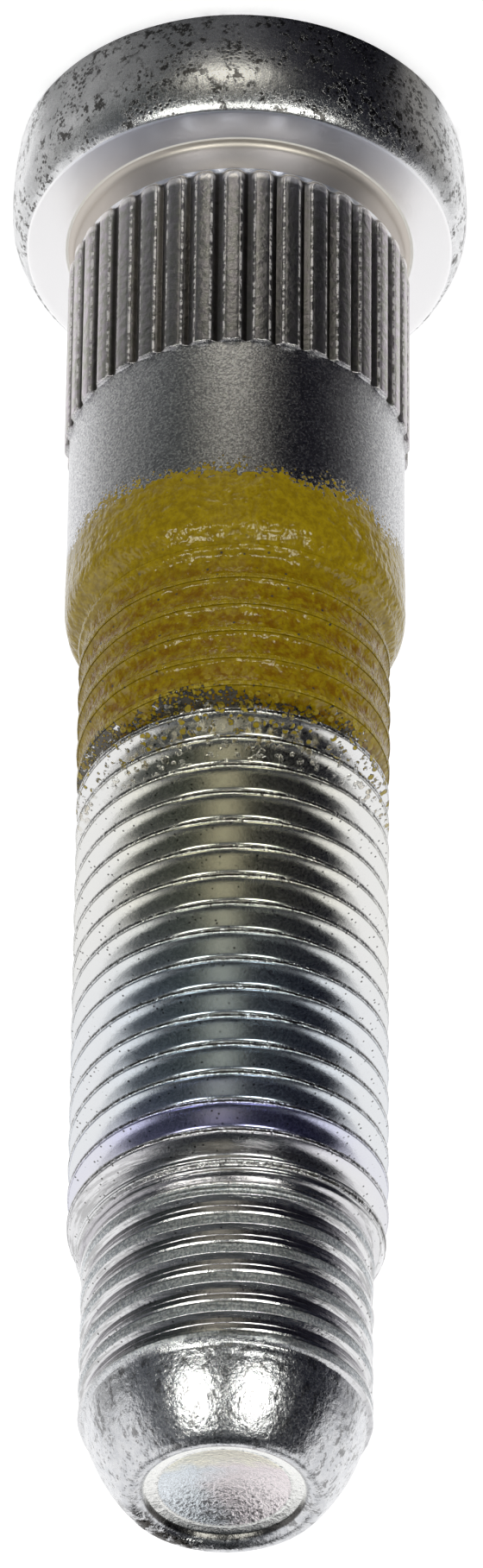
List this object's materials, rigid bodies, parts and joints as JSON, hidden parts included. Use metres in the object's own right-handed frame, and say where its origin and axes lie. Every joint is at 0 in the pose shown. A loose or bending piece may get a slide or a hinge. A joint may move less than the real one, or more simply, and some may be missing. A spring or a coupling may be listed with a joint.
{
  "type": "wheel stud",
  "caption": "Press-in wheel stud with a round bulged head, a serrated band, a plain shank, a rolled right-hand thread and a bullet-nosed pilot with a dimpled end.",
  "frame": {"origin": "middle of the head's flat outer face, on which the stud stands", "axes": "+Z along the stud's axis, from the head towards the tip"},
  "size_m": [0.0208, 0.0208, 0.0739],
  "materials": {
    "plated_steel": "satin"
  },
  "bodies": {
    "root": {"wheel_stud": "plated_steel"}
  },
  "joints": []
}
